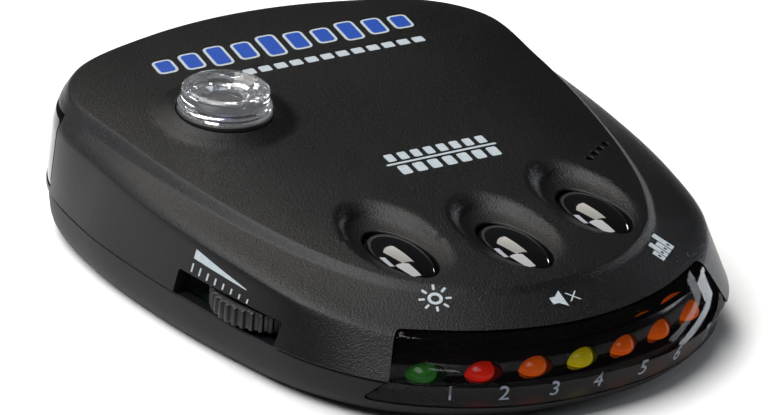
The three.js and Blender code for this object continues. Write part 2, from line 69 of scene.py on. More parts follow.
RIM = [(0, -49.25), (14, -47.2), (27.4, -39.4), (34.6, -28.6), (38.3, -13), (40.5, 4),
       (40.9, 19.6), (38.2, 34), (30.8, 42.8), (16, 47.9), (0, 49.25)]
SHOULDER = [(0, -45.3, 12.3), (13.2, -42.9, 12.3), (25.7, -35.7, 12.6), (33, -26, 14),
            (36.6, -12.6, 15.3), (38.7, 4, 16.1), (39, 19.8, 16.7), (38, 33.8, 17),
            (31, 42, 17.2), (16, 47.2, 17.4), (0, 48.7, 17.4)]
BASE = [(0, -41.5), (11.6, -39.8), (23.6, -34), (31, -24.8), (35.4, -11.4), (37.8, 4),
        (38, 19.8), (35.4, 32.6), (28.6, 40.4), (14.8, 45.2), (0, 46.4)]
FOOT = [(0, -38.2), (11.4, -36.2), (21.4, -29.8), (27, -21.4), (31, -10.8), (34.6, 4.6),
        (36.6, 19.8), (37, 33.4), (31, 41.2), (16.1, 46.4), (0, 48.2)]
BASE_ROUND = [(0, 0), (0.35, 0.3), (1, 0.52), (2, 0.73), (3.2, 0.86), (5, 0.95)]

DOME = {"x": -19.4, "y": 18.3, "foot": 9.8, "neck": 7.2, "seat": 6.95, "shelf": 5.8, "rise": 1.05}
DOME_SHELF_DEPTH = 0.75     # the shelf is level, and this far below the plateau
BUTTON = {"length": 14.6, "width": 7.1, "proud": 0.35, "crown": 2.6, "gap": 0.3}
DISH = {"side": 2.85, "end": 3.8, "height": 1.6, "rise": 0.2}
BUTTONS = {"dim": (-16.2, -22.6), "mute": (0.0, -26.6), "city": (16.2, -22.6)}
SOUND_HOLES = [(23.5 + 1.7 * i, -10.9 + 1.1 * i) for i in range(4)]
SOUND_HOLE_RADIUS = 0.55
WINDOW = {"low": 29.8, "high": 25.2, "low_z": 3.7, "high_z": 12.5, "back_y": -33, "thickness": 1.6}
RADOME = {"from_y": 32, "bottom_z": 8.2, "top_z": 18.6, "thickness": 1.5}
SLOT = {"from_y": -23.6, "to_y": -3.2, "bottom_z": 6.0, "top_z": 10.6}
FLANGE_DROP = 3.3           # from a CAD button's top to the Blender cap's flange
LED_FRONT_Y = -43.9         # the bezel's front at x = 0
LED_BOW = 0.0112            # how far it runs back, for each x squared
JACK = {"y": 2.6, "z": 9.6, "radius": 3.4}
CASE_POSTS = [(-32, 26), (32, -12.5), (-25.5, -29.5), (4.5, 43.4)]
LABEL = {"length": 24, "width": 40, "y": 24, "depth": 0.4}


# ---- outlines and heights

def closed_curve(points):
    """A centripetal Catmull-Rom curve through a closed list of points, SAMPLES points a span."""
    p = np.array(points, float)
    out = []
    for i in range(len(p)):
        a, b, c, d = p[i - 1], p[i], p[(i + 1) % len(p)], p[(i + 2) % len(p)]
        ab, bc, cd = (math.sqrt(np.linalg.norm(v)) for v in (b - a, c - b, d - c))
        start = ((b - a) / ab - (c - a) / (ab + bc) + (c - b) / bc) * bc
        end = ((c - b) / bc - (d - b) / (bc + cd) + (d - c) / cd) * bc
        for k in range(SAMPLES):
            t = k / SAMPLES
            out.append(b + start * t + (3 * (c - b) - 2 * start - end) * t ** 2
                       + (2 * (b - c) + start + end) * t ** 3)
    return np.array(out)


def ring(half_outline, height=None):
    """The closed outline of a half outline and its mirror image, anticlockwise from the front."""
    right = [(x, y, z[0] if z else 0.0) for x, y, *z in half_outline]
    left = [(-x, y, z) for x, y, z in reversed(right[1:-1])]
    out = closed_curve(right + left)
    if height is not None:
        out[:, 2] = height(out[:, 1])
    return out


def inset(points, distance):
    """Moves a ring inwards along its own normals, in plan."""
    along = np.roll(points, -1, 0) - np.roll(points, 1, 0)
    along[:, 2] = 0
    along /= np.linalg.norm(along, axis=1)[:, None]
    out = points.copy()
    out[:, 0] -= along[:, 1] * distance
    out[:, 1] += along[:, 0] * distance
    return out


def level(points, z):
    out = points.copy()
    out[:, 2] = z
    return out


def lifted(points, rise):
    return points + np.array([0, 0, rise])


def mix(a, b, share):
    return a * (1 - share) + b * share


def top_height(y):
    return TOP_Z + TOP_SLOPE * y


def foot_height(y):
    share = np.clip((y + LENGTH / 2) / LENGTH, 0, 1)
    return top_height(y) - (STEP_FRONT + (STEP_BACK - STEP_FRONT) * share)


base = ring(BASE)
rim = ring(RIM, lambda y: np.full_like(y, PART_Z))
shoulder = ring(SHOULDER)
foot = ring(FOOT, foot_height)
plateau = inset(foot, TOP_INSET)
plateau[:, 2] = top_height(plateau[:, 1])
MIDDLE = np.array([0, MIDDLE_Y])

plateau_polar = plateau[:, :2] - MIDDLE
plateau_angle = np.unwrap(np.arctan2(plateau_polar[:, 1], plateau_polar[:, 0]))
plateau_radius = np.linalg.norm(plateau_polar, axis=1)


def plateau_share(xy):
    """How far out from the plateau's middle points are, as a share of the way to its edge."""
    out = xy - MIDDLE
    angle = np.arctan2(out[:, 1], out[:, 0])
    start = plateau_angle[0]
    angle = start + np.mod(angle - start, 2 * math.pi)
    angles = np.append(plateau_angle, start + 2 * math.pi)
    radii = np.append(plateau_radius, plateau_radius[0])
    return np.linalg.norm(out, axis=1) / np.interp(angle, angles, radii)


def crowned(xy):
    """Height of the plateau's crowned surface, without its hollows."""
    share = np.minimum(plateau_share(xy), 1.0)
    return top_height(xy[:, 1]) + CROWN * (1 - share ** CROWN_POWER)


def crowned_at(x, y):
    return float(crowned(np.array([[x, y]], float))[0])


def smooth_min(a, b, softness):
    low = np.minimum(a, b)
    return low - softness * np.log(np.exp(-(a - low) / softness) + np.exp(-(b - low) / softness))


def dish_height(xy, x, y):
    """Height of the hollow's own surface round a button."""
    half_w = BUTTON["width"] / 2 + DISH["side"]
    half_l = BUTTON["length"] / 2 + DISH["end"]
    r = np.hypot((xy[:, 0] - x) / half_w, (xy[:, 1] - y) / half_l)
    bowl = DISH["rise"] - DISH["height"] * np.sqrt(np.clip(1 - r ** 2, 0, 1))
    beyond = DISH["rise"] + np.clip(r - 1, 0, None) * 6
    return crowned_at(x, y) + np.where(r < 1, bowl, beyond)


def pedestal_rise(xy):
    """How far the dome's moulded foot stands above the plateau."""
    r = np.hypot(xy[:, 0] - DOME["x"], xy[:, 1] - DOME["y"])
    t = np.clip((DOME["foot"] - r) / (DOME["foot"] - DOME["neck"]), 0, 1)
    return DOME["rise"] * (0.22 * np.clip(t * 8, 0, 1) + 0.78 * t ** 1.5)


def top_surface(xy):
    z = crowned(xy)
    for x, y in BUTTONS.values():
        z = smooth_min(z, dish_height(xy, x, y), 0.1)
    return z + pedestal_rise(xy)


# ---- mesh building

class Builder:
    """Collects points and faces of one closed surface, loop by loop. Lengths in millimetres."""

    def __init__(self):
        self.points = []
        self.faces = []

    def loop(self, points):
        start = len(self.points)
        self.points.extend(tuple(p) for p in points)
        return list(range(start, start + len(points)))

    def bridge(self, a, b):
        """Quads between two loops of as many points: outwards if b lies above a, anticlockwise."""
        n = len(a)
        for i in range(n):
            j = (i + 1) % n
            self.faces.append((a[i], a[j], b[j], b[i]))

    def tower(self, rings, inward=False):
        """Bridges rings in turn and returns the loops' indices."""
        loops = [self.loop(r) for r in rings]
        for a, b in zip(loops, loops[1:]):
            self.bridge(*((b, a) if inward else (a, b)))
        return loops

    def cap(self, loop, up=True):
        """Closes a loop with a fan round its middle."""
        middle = self.loop([np.mean([self.points[i] for i in loop], axis=0)])[0]
        for i, a in enumerate(loop):
            b = loop[(i + 1) % len(loop)]
            self.faces.append((middle, a, b) if up else (middle, b, a))

    def fill(self, outer, holes, inner_xy, height, up=True):
        """Triangles between an outer loop and holes, through points at inner_xy."""
        loops = [outer] + holes
        outlines = [[self.points[i][:2] for i in loop] for loop in loops]
        made, faces, origins = triangulated(outlines, inner_xy)
        crossings = [tuple(v) for v, o in zip(made, origins) if not o]
        if crossings:
            raise RuntimeError(f"outlines cross at {crossings[:6]}")
        ids = [i for loop in loops for i in loop]
        if len(inner_xy):
            ids += self.loop(np.column_stack([inner_xy, height(np.array(inner_xy, float))]))
        for face in faces:
            corners = [ids[origins[v][0]] for v in face]
            self.faces.append(corners if up else corners[::-1])

    def piece(self, name):
        mesh = bpy.data.meshes.new(name)
        mesh.from_pydata([tuple(c * MM for c in p) for p in self.points], [], self.faces)
        mesh.validate()
        return new_object(name, mesh)


def inside(point, outline):
    """True if a point lies inside a closed outline."""
    x, y = outline[:, 0], outline[:, 1]
    nx, ny = np.roll(x, -1), np.roll(y, -1)
    crosses = (y > point[1]) != (ny > point[1])
    with np.errstate(divide="ignore", invalid="ignore"):
        at = x + (point[1] - y) / (ny - y) * (nx - x)
    return bool(np.count_nonzero(crosses & (point[0] < at)) % 2)


def within(point, rings):
    """True if a point lies inside the first outline and outside the others."""
    return inside(point, rings[0]) and not any(inside(point, r) for r in rings[1:])


def triangulated(outlines, inner):
    """Points, triangles and points' origins of a plane area: outline, holes, points inside it."""
    flat = [Vector(p) for points in (*outlines, inner) for p in points]
    edges, start = [], 0
    for outline in outlines:
        n = len(outline)
        edges += [(start + i, start + (i + 1) % n) for i in range(n)]
        start += n
    made, _, faces, origins, _, _ = delaunay_2d_cdt(flat, edges, [], 0, 1e-5)
    rings = [np.array(outline) for outline in outlines]
    return made, [f for f in faces if within(np.mean([made[v] for v in f], axis=0), rings)], origins


def node_box(name):
    """A CAD node's box in millimetres: its low and high corners, its middle and its half size."""
    low, high = (np.array(corner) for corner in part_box(name))
    return low / MM, high / MM, (low + high) / 2 / MM, (high - low) / 2 / MM


def new_object(name, mesh):
    piece = bpy.data.objects.new(name, mesh)
    bpy.context.scene.collection.objects.link(piece)
    return piece


def baked(piece):
    """Replaces the piece's mesh by the one its modifiers make."""
    graph = bpy.context.evaluated_depsgraph_get()
    mesh = bpy.data.meshes.new_from_object(piece.evaluated_get(graph))
    piece.modifiers.clear()
    piece.data = mesh
    return piece


def boolean(piece, cutter, operation="DIFFERENCE"):
    """Cuts the piece with the cutter, joins them or keeps what they share. The cutter goes."""
    modifier = piece.modifiers.new("cut", "BOOLEAN")
    modifier.operation = operation
    modifier.solver = "EXACT"
    modifier.object = cutter
    baked(piece)
    bpy.data.objects.remove(cutter)
    return piece


def smooth(piece, angle=32):
    piece.data.shade_smooth()
    piece.data.set_sharp_from_angle(angle=math.radians(angle))
    return piece


def rounded_profile(points, setbacks, steps):
    """Rings through a polyline of rings, with each inner corner rounded by a quadratic curve."""
    rings = [points[0]]
    for before, corner, after, setback in zip(points, points[1:], points[2:], setbacks):
        back, ahead = before - corner, after - corner
        back_length = np.linalg.norm(back, axis=1)[:, None]
        ahead_length = np.linalg.norm(ahead, axis=1)[:, None]
        start = corner + back / back_length * np.minimum(setback, 0.45 * back_length)
        end = corner + ahead / ahead_length * np.minimum(setback, 0.45 * ahead_length)
        for k in range(steps + 1):
            t = k / steps
            rings.append(start * (1 - t) ** 2 + corner * 2 * t * (1 - t) + end * t ** 2)
    rings.append(points[-1])
    return rings


def oval(x, y, half_w, half_l, count=96, z=0.0):
    turn = np.arange(count) * 2 * math.pi / count
    return np.column_stack([x + half_w * np.cos(turn), y + half_l * np.sin(turn), np.full(count, z)])


def circle(x, y, z, radius, count=48):
    return oval(x, y, radius, radius, count, z)


def disc(x, y, radius, count=20):
    return [tuple(p) for p in circle(x, y, 0, radius, count)[:, :2]]


def rectangle(a0, a1, b0, b1):
    return [(a0, b0), (a1, b0), (a1, b1), (a0, b1)]


def turned(name, profile, x=0.0, y=0.0, z=0.0, count=64):
    """A closed turned piece: profile points (radius, height) from the lower to the upper axis end."""
    build = Builder()
    rings = [circle(x, y, z + h, r, count) for r, h in profile[1:-1]]
    loops = build.tower(rings)
    bottom = build.loop([(x, y, z + profile[0][1])])[0]
    top = build.loop([(x, y, z + profile[-1][1])])[0]
    for i in range(count):
        j = (i + 1) % count
        build.faces.append((bottom, loops[0][j], loops[0][i]))
        build.faces.append((top, loops[-1][i], loops[-1][j]))
    return build.piece(name)


def prism(name, outline, low, high, axis="z"):
    """A closed prism over a plane outline, anticlockwise, extruded along an axis."""
    order = {"z": (0, 1, 2), "y": (0, 2, 1), "x": (2, 0, 1)}[axis]
    if axis == "y":
        outline = outline[::-1]
    build = Builder()
    loops = build.tower([[[(a, b, c)[i] for i in order] for a, b in outline] for c in (low, high)])
    build.faces += [loops[0][::-1], loops[1]]
    return build.piece(name)


def rounded_outline(corners, radius, steps=6):
    """A plane outline with its corners rounded."""
    out = []
    for i, corner in enumerate(corners):
        corner = np.array(corner, float)
        a = np.array(corners[i - 1], float) - corner
        b = np.array(corners[(i + 1) % len(corners)], float) - corner
        start = corner + a / np.linalg.norm(a) * radius
        end = corner + b / np.linalg.norm(b) * radius
        for k in range(steps + 1):
            t = k / steps
            out.append(tuple(start * (1 - t) ** 2 + corner * 2 * t * (1 - t) + end * t ** 2))
    return out


# ---- spaces cut from the covers

def window_space(grow):
    w = WINDOW
    low, high = w["low"] + grow, w["high"] + grow
    corners = [(-low, w["low_z"] - grow), (low, w["low_z"] - grow),
               (high, w["high_z"] + grow), (-high, w["high_z"] + grow)]
    return prism("window_space", rounded_outline(corners, 0.9 + grow), -60, w["back_y"] + grow, "y")


def radome_space(grow):
    r = RADOME
    corners = rectangle(-60, 60, r["bottom_z"] - grow, r["top_z"] + grow)
    return prism("radome_space", corners, r["from_y"] - grow, 70, "y")


def slot_space():
    s = SLOT
    corners = rectangle(s["from_y"], s["to_y"], s["bottom_z"], s["top_z"])
    return prism("slot_space", rounded_outline(corners, 0.5), -48, -33, "x")


def jack_space():
    return prism("jack_space", disc(JACK["y"], JACK["z"], JACK["radius"] + GAP, 48), 32, 46, "x")


# ---- covers

def outer_rings():
    """Rings of the upper body's outer surface, from the parting line to the plateau's edge."""
    over = inset(rim, -RIM_OVERHANG)
    lip = level(over, PART_Z + 0.25)
    under = level(inset(rim, -RIM_OVERHANG + 0.22), PART_Z)
    wall = [mix(lip, shoulder, k / 5) for k in range(1, 5)]
    near_edge = crown_ring(EDGE_SHARE)
    smooth_part = rounded_profile([wall[-1], shoulder, foot, plateau, near_edge],
                                  [2.9, 0.3, 0.8], 7)
    return [under, lip] + wall + smooth_part[1:]


def crown_ring(share):
    xy = MIDDLE + plateau_polar * share
    return np.column_stack([xy, crowned(xy)])


def hollowed(rings):
    """Lowers what lies in a button's hollow."""
    out = []
    for r in rings:
        r = r.copy()
        for x, y in BUTTONS.values():
            near = plateau_share(r[:, :2]) < 1.02
            lowered = smooth_min(r[:, 2], dish_height(r[:, :2], x, y), 0.1)
            r[near, 2] = lowered[near]
        out.append(r)
    return out


def surface_points(keep_clear):
    """Where the plateau's surface needs points: fine round the buttons and the dome."""
    spots = []
    half_w, half_l = BUTTON["width"] / 2, BUTTON["length"] / 2
    for x, y in BUTTONS.values():
        for k in range(1, 15):
            grow = 0.45 + 0.36 * k
            share = grow / 3.0
            spots += list(oval(x, y, half_w + grow, half_l + grow * 1.15 + 0.1 * share, 96)[:, :2])
    for k in range(1, 11):
        spots += list(circle(DOME["x"], DOME["y"], 0, DOME["neck"] + 0.3 * k, 84)[:, :2])
    claimed = np.array(spots)
    step = 0.95
    for i, x in enumerate(np.arange(-36, 36.1, step)):
        for y in np.arange(-38, 48, step):
            p = np.array([x, y + (step / 2 if i % 2 else 0)])
            if np.min(np.linalg.norm(claimed - p, axis=1)) > 0.5:
                spots.append(p)
    spots = np.array(spots)
    spots = spots[plateau_share(spots) < EDGE_SHARE - 0.01]
    for loop in keep_clear:
        flat = loop[:, :2]
        far = np.array([np.min(np.linalg.norm(flat - p, axis=1)) > 0.22 and not inside(p, flat)
                        for p in spots])
        spots = spots[far]
    keep, cells = [], set()
    for p in spots:
        cell = (round(p[0] / 0.2), round(p[1] / 0.2))
        near = [(cell[0] + a, cell[1] + b) for a in (-1, 0, 1) for b in (-1, 0, 1)]
        if not any(c in cells for c in near):
            cells.add(cell)
            keep.append(tuple(p))
    return keep


def hole_outlines():
    """The plateau's holes: for each, its rings from the surface down, and the depth of each."""
    half_w = BUTTON["width"] / 2 + BUTTON["gap"]
    half_l = BUTTON["length"] / 2 + BUTTON["gap"]
    lip = [(0.26, 0.0), (0.15, 0.03), (0.06, 0.1), (0.0, 0.26)]
    holes = []
    for x, y in BUTTONS.values():
        holes.append([(oval(x, y, half_w + g, half_l + g), d) for g, d in lip])
    neck = [(DOME["neck"], 0.0), (DOME["neck"] - 0.1, 0.06), (DOME["seat"], 0.3),
            (DOME["seat"], DOME_SHELF_DEPTH), (DOME["shelf"], DOME_SHELF_DEPTH)]
    holes.append([(circle(DOME["x"], DOME["y"], 0, r, 84), d) for r, d in neck])
    for x, y in SOUND_HOLES:
        holes.append([(circle(x, y, 0, SOUND_HOLE_RADIUS + g, 16), d) for g, d in
                      [(0.12, 0.0), (0.03, 0.06), (0.0, 0.2)]])
    return holes


def inner_roof(xy):
    return crowned(xy) - WALL


def top_shell():
    build = Builder()
    outer = build.tower(hollowed(outer_rings()))
    inner = lambda points: inset(lifted(points, -WALL), WALL)
    inner_edge = inset(lifted(plateau, -WALL), WALL / 2)
    inner_rings = [level(inset(rim, WALL), PART_Z), inset(mix(rim, shoulder, 0.5), WALL),
                   inner(shoulder), inner(foot), inner_edge]
    inside_loops = build.tower(inner_rings, inward=True)
    build.bridge(inside_loops[0], outer[0])
    starts, ends, clear = [], [], []
    for rings in hole_outlines():
        surface = top_surface(rings[0][0][:, :2])
        steps = [level(points, (surface.mean() if depth >= DOME_SHELF_DEPTH else surface) - depth)
                 for points, depth in rings]
        steps.append(level(rings[-1][0], inner_roof(rings[-1][0][:, :2])))
        loops = build.tower(steps, inward=True)
        starts.append(loops[0])
        ends.append(loops[-1])
        clear.append(rings[0][0])
    build.fill(outer[-1], starts, surface_points(clear), top_surface)
    coarse = [p for p in itertools.product(range(-30, 31, 6), range(-30, 44, 6))
              if plateau_share(np.array([p], float))[0] < 0.85
              and not any(np.min(np.hypot(*(c[:, :2] - p).T)) < 1 or inside(np.array(p), c[:, :2])
                          for c in clear)]
    build.fill(inside_loops[-1], ends, coarse, inner_roof, up=False)
    piece = build.piece("top_shell")
    for cutter in (window_space(GAP), radome_space(GAP), slot_space(), jack_space()):
        boolean(piece, cutter)
    return smooth(piece, 38)


def low_rings():
    rings = [level(mix(base, rim, share), z) for z, share in BASE_ROUND]
    return rings + [level(inset(rim, 0.02), PART_Z - 0.45), level(inset(rim, 0.22), PART_Z - 0.18)]


def bottom_shell():
    build = Builder()
    outer = build.tower(low_rings())
    inner_rings = [level(inset(rim, 4.6), WALL), level(inset(rim, WALL + 0.8), 4),
                   level(inset(rim, WALL), PART_Z - 0.18)]
    inner = build.tower(inner_rings, inward=True)
    build.bridge(outer[-1], inner[-1])
    half_w, half_l = LABEL["width"] / 2, LABEL["length"] / 2
    y = LABEL["y"]
    outline = rounded_outline(rectangle(-half_w, half_w, y - half_l, y + half_l), 1.6)
    lower, upper = build.tower([[(a, b, z) for a, b in outline] for z in (0, LABEL["depth"])],
                               inward=True)
    build.faces.append(upper[::-1])
    build.fill(outer[0], [lower], [], None, up=False)
    build.fill(inner[0], [], [], None)
    piece = build.piece("bottom_shell")
    for x, y in CASE_POSTS:
        boolean(piece, turned("post", [(0, 1), (3, 1), (3, PART_Z - 0.5), (0, PART_Z - 0.5)], x, y),
                "UNION")
    for x, y in CASE_POSTS:
        boolean(piece, turned("screw_space", [(0, -1), (2.8, -1), (2.8, 0), (2.5, 0.25), (2.5, 2.2),
                                              (1.4, 2.2), (1.4, 9), (0, 9)], x, y, count=50))
    for cutter in (window_space(GAP), jack_space()):
        boolean(piece, cutter)
    return smooth(piece, 35)


def body_skin(thickness):
    """The body's outer skin from the base's rounding to the plateau's foot, closed."""
    upper = outer_rings()[2:]
    count = next(i for i, r in enumerate(upper) if r[:, 2].mean() > foot[:, 2].mean() - 0.3)
    rings = [level(mix(base, rim, share), z) for z, share in BASE_ROUND[3:5]]
    rings += [level(inset(rim, -0.1), PART_Z)] + upper[:count]
    build = Builder()
    outer = build.tower(rings)
    inner = build.tower([inset(r, thickness) for r in rings], inward=True)
    build.bridge(inner[0], outer[0])
    build.bridge(outer[-1], inner[-1])
    return build.piece("skin")


def skin_piece(name, thickness, space):
    """What the body's skin and a space share."""
    piece = boolean(body_skin(thickness), space, "INTERSECT")
    piece.name = name
    return smooth(piece, 30)


# ---- dome

def dome_base_z():
    return crowned_at(DOME["x"], DOME["y"])


def dome_lens():
    """Clear cap: a flange, a straight side and a hollow with eight facets in its top."""
    r, f, facets, count = 6.3, 6.75, 8, 72
    round_part = [(2.2, 1.5), (4.9, 2.2), (5.2, 1.25), (f - 0.15, 1.2), (f, 1.35), (f, 2.0),
                  (f - 0.12, 2.15), (r + 0.1, 2.2), (r, 2.35), (r, 3.9), (r - 0.08, 4.2),
                  (r - 0.3, 4.42), (r - 0.65, 4.52), (r - 1.0, 4.5), (r - 1.25, 4.36)]
    faceted_part = [(r - 1.5, 4.2), (2.6, 2.75), (1.2, 2.6)]
    x, y, z = DOME["x"], DOME["y"], dome_base_z()
    turn = np.arange(count) * 2 * math.pi / count
    sector = np.mod(turn, 2 * math.pi / facets) - math.pi / facets
    flat = np.column_stack([np.cos(turn), np.sin(turn)]) * (0.96 / np.cos(sector))[:, None]
    rings = [circle(x, y, z + h, s, count) for s, h in round_part]
    rings += [np.column_stack([x + s * flat[:, 0], y + s * flat[:, 1], np.full(count, z + h)])
              for s, h in faceted_part]
    build = Builder()
    loops = build.tower(rings)
    build.cap(loops[-1])
    build.cap(loops[0], up=False)
    return smooth(build.piece("clear_dome"), 14)


def dome_ring():
    profile_z = dome_base_z()
    build = Builder()
    section = [(4.9, 0.5), (6.85, 0.5), (6.85, 0.95), (6.75, 1.05), (5.1, 1.05), (4.9, 0.95)]
    loops = build.tower([circle(DOME["x"], DOME["y"], profile_z + z, r, 72) for r, z in section])
    build.bridge(loops[-1], loops[0])
    return smooth(build.piece("dome_seal"), 40)


# ---- buttons, wheel and lights

LIGHT_SLOTS = ["led_green", "led_red", "led_orange", "led_yellow", "led_orange", "led_orange",
               "led_orange"]

def button_piece(name, x, y):
    """A glossy oval cap with a rounded shoulder, and a stem down to its switch."""
    half_w, half_l = BUTTON["width"] / 2, BUTTON["length"] / 2
    top = crowned_at(x, y) + BUTTON["proud"]
    low, high, _, _ = node_box(name + "_button")
    flange_z = high[2] - FLANGE_DROP
    rings = [oval(x, y, half_w, half_l, 96, z) for z in (flange_z + 0.1, top - BUTTON["crown"] * 0.85)]
    for k in range(1, 22):
        turn = math.pi / 2 * k / 22
        s = math.cos(turn)
        fall = BUTTON["crown"] * (1 - math.sqrt(1 - (0.98 * s) ** 2))
        rings.append(oval(x, y, half_w * s, half_l * s, 96, top - fall))
    build = Builder()
    loops = build.tower(rings)
    build.cap(loops[-1])
    stem = [(x + a * 1.5, y + b * 1.5) for a, b in [(-1, -1), (1, -1), (1, 1), (-1, 1)]]
    flange = build.tower([oval(x, y, half_w + 0.9, half_l - 2.0, 96, z)
                          for z in (flange_z - 0.8, flange_z)])
    build.bridge(flange[1], loops[0])
    build.faces.append(flange[0][::-1])
    piece = build.piece(name + "_cap")
    post = prism("stem", stem, low[2], flange_z - 0.4)
    boolean(piece, post, "UNION")
    return smooth(piece, 40)


def wheel_piece():
    """The knurled finger wheel, with rounded ribs and a recessed face."""
    (_, _, z0), (_, _, z1), (x, y, _), (radius, _, _) = node_box("volume_wheel")
    depth, ribs, steps = 0.45, 40, 12
    count = ribs * steps
    turn = np.arange(count) * 2 * math.pi / count
    wave = np.clip(0.5 + 0.95 * np.cos(turn * ribs), 0, 1)

    def rim_ring(z, pull):
        return circle(x, y, z, radius - pull - depth * (1 - wave), count)

    def plain(r, z):
        return circle(x, y, z, r, count)

    rings = [plain(2.0, z0), plain(6.6, z0), plain(6.8, z0 + 0.02), rim_ring(z0, 0.35),
             rim_ring(z0 + 0.12, 0.1), rim_ring(z0 + 0.35, 0), rim_ring(z1 - 0.35, 0),
             rim_ring(z1 - 0.12, 0.1), rim_ring(z1, 0.35), plain(7.4, z1), plain(7.2, z1 - 0.35),
             plain(3.4, z1 - 0.35), plain(3.2, z1), plain(2.0, z1)]
    build = Builder()
    loops = build.tower(rings)
    build.bridge(loops[-1], loops[0])
    return smooth(build.piece("finger_wheel"), 40)


def light_piece(number):
    """An oval lens on its side, with a rounded nose and a flange behind."""
    (_, nose, _), (_, back, _), (x, _, z), (half_w, _, half_h) = node_box(f"led_{number}")
    length = back - nose
    shares = [(0.0, 1.0), (0.17, 1.0), (0.18, 0.9), (0.4, 0.89), (0.52, 0.87), (0.62, 0.82),
              (0.71, 0.75), (0.79, 0.66), (0.86, 0.55), (0.92, 0.42), (0.965, 0.28), (0.99, 0.15)]
    rings = [oval(x, z, half_w * s, half_h * s, 48, back - length * t)[:, [0, 2, 1]]
             for t, s in shares]
    build = Builder()
    loops = build.tower(rings)
    build.cap(loops[-1])
    build.cap(loops[0], up=False)
    name = f"light_{number}"
    return smooth(build.piece(name), 40)


def bezel_piece():
    """The bar that the lights stick out of: a bowed bar with a rounded, polished front."""
    half_length, back = 27.0, 1.6
    section = [(back, 4.6), (0.5, 4.6)]
    section += [(0.75 * abs(t) ** 2.2 - 0.3, 7.1 + 2.3 * t) for t in np.linspace(-1, 1, 15)]
    section += [(back, 9.4)]
    build = Builder()
    loops = []
    for x in np.linspace(-half_length, half_length, 73):
        y = LED_FRONT_Y + LED_BOW * x * x
        loops.append(build.loop([(x, y + dy, z) for dy, z in section]))
    for a, b in zip(loops, loops[1:]):
        build.bridge(a, b)
    build.faces += [loops[0][::-1], loops[-1]]
    piece = build.piece("light_bezel")
    for i in range(1, len(LIGHT_SLOTS) + 1):
        _, _, (x, _, z), (half_w, _, half_h) = node_box(f"led_{i}")
        outline = [tuple(p) for p in oval(x, z, half_w + 0.1, half_h + 0.1, 48)[:, :2]]
        boolean(piece, prism("light_space", outline, -60, -20, "y"))
    return smooth(piece, 35)


def socket_piece():
    """The power socket's barrel with its bore and centre pin."""
    (back, _, _), (face, _, _), _, _ = node_box("power_socket")
    section = [(0.0, back), (3.2, back), (3.4, back + 0.2), (3.4, face - 0.25), (3.15, face),
               (2.0, face), (1.8, face - 0.25), (1.8, face - 7), (0.45, face - 7), (0.45, face - 1.2),
               (0.25, face - 0.9), (0.0, face - 0.9)]
    build = Builder()
    loops = build.tower([circle(JACK["y"], JACK["z"], x, r)[:, [2, 0, 1]] for r, x in section[1:-1]])
    build.cap(loops[-1])
    build.cap(loops[0], up=False)
    return smooth(build.piece("socket_barrel"), 40)


# ---- material helpers

def material(name):
    """A material with a Principled shader, and a small kit to add nodes to it."""
    made = bpy.data.materials.new(name)
    made.use_nodes = True
    return made, made.node_tree, made.node_tree.nodes["Principled BSDF"]


def connect(tree, socket, value):
    """Links a node's output to a socket, or sets the socket to a plain value."""
    if isinstance(value, bpy.types.NodeSocket):
        tree.links.new(value, socket)
    else:
        socket.default_value = value


def add_node(tree, kind, settings=None, **inputs):
    node = tree.nodes.new(kind)
    for key, value in (settings or {}).items():
        setattr(node, key, value)
    for key, value in inputs.items():
        connect(tree, node.inputs[key.replace("_", " ")], value)
    return node


def place(tree):
    """Where a point is in the part's frame, in metres."""
    return add_node(tree, "ShaderNodeTexCoord").outputs["Object"]


def noise(tree, scale, detail=2.0, roughness=0.5, where=None):
    node = add_node(tree, "ShaderNodeTexNoise", Vector=where or place(tree), Scale=scale,
                    Detail=detail, Roughness=roughness)
    return node.outputs["Fac"]


def pebbles(tree, scale, smoothness=0.6, where=None):
    node = add_node(tree, "ShaderNodeTexVoronoi", {"feature": "SMOOTH_F1"},
                    Vector=where or place(tree), Scale=scale, Smoothness=smoothness)
    return node.outputs["Distance"]


def remap(tree, value, low, high, to_low, to_high):
    node = add_node(tree, "ShaderNodeMapRange", {"clamp": True}, Value=value)
    for key, number in (("From Min", low), ("From Max", high), ("To Min", to_low), ("To Max", to_high)):
        node.inputs[key].default_value = number
    return node.outputs["Result"]


def blend(tree, share, a, b):
    node = add_node(tree, "ShaderNodeMix", {"data_type": "RGBA"})
    for index, value in ((0, share), (6, a), (7, b)):
        connect(tree, node.inputs[index], value)
    return node.outputs[2]


def times(tree, a, b, operation="MULTIPLY"):
    node = add_node(tree, "ShaderNodeMath", {"operation": operation})
    connect(tree, node.inputs[0], a)
    connect(tree, node.inputs[1], b)
    return node.outputs[0]


def plus(tree, a, b):
    return times(tree, a, b, "ADD")


def weighted(tree, a, share_a, b, share_b):
    return plus(tree, times(tree, a, share_a), times(tree, b, share_b))


def tint_between(tree, shader, value, low, high, tint, factor):
    """Base colour from the tint where the value is low to a multiple of it where it's high."""
    other = tuple(c * factor for c in tint[:3]) + (1,)
    connect(tree, shader.inputs["Base Color"],
            blend(tree, remap(tree, value, low, high, 0, 1), tint, other))


def roughen(tree, shader, value, low, high, smoothest, roughest):
    connect(tree, shader.inputs["Roughness"], remap(tree, value, low, high, smoothest, roughest))


def bump(tree, shader, height, depth, strength=1.0):
    node = add_node(tree, "ShaderNodeBump", Height=height, Distance=depth, Strength=strength)
    tree.links.new(node.outputs["Normal"], shader.inputs["Normal"])


def colour(r, g, b):
    """A colour given as it looks, 0 to 255, as linear light."""
    return tuple(((c / 255) / 12.92 if c <= 10 else ((c / 255 + 0.055) / 1.055) ** 2.4)
                 for c in (r, g, b)) + (1.0,)


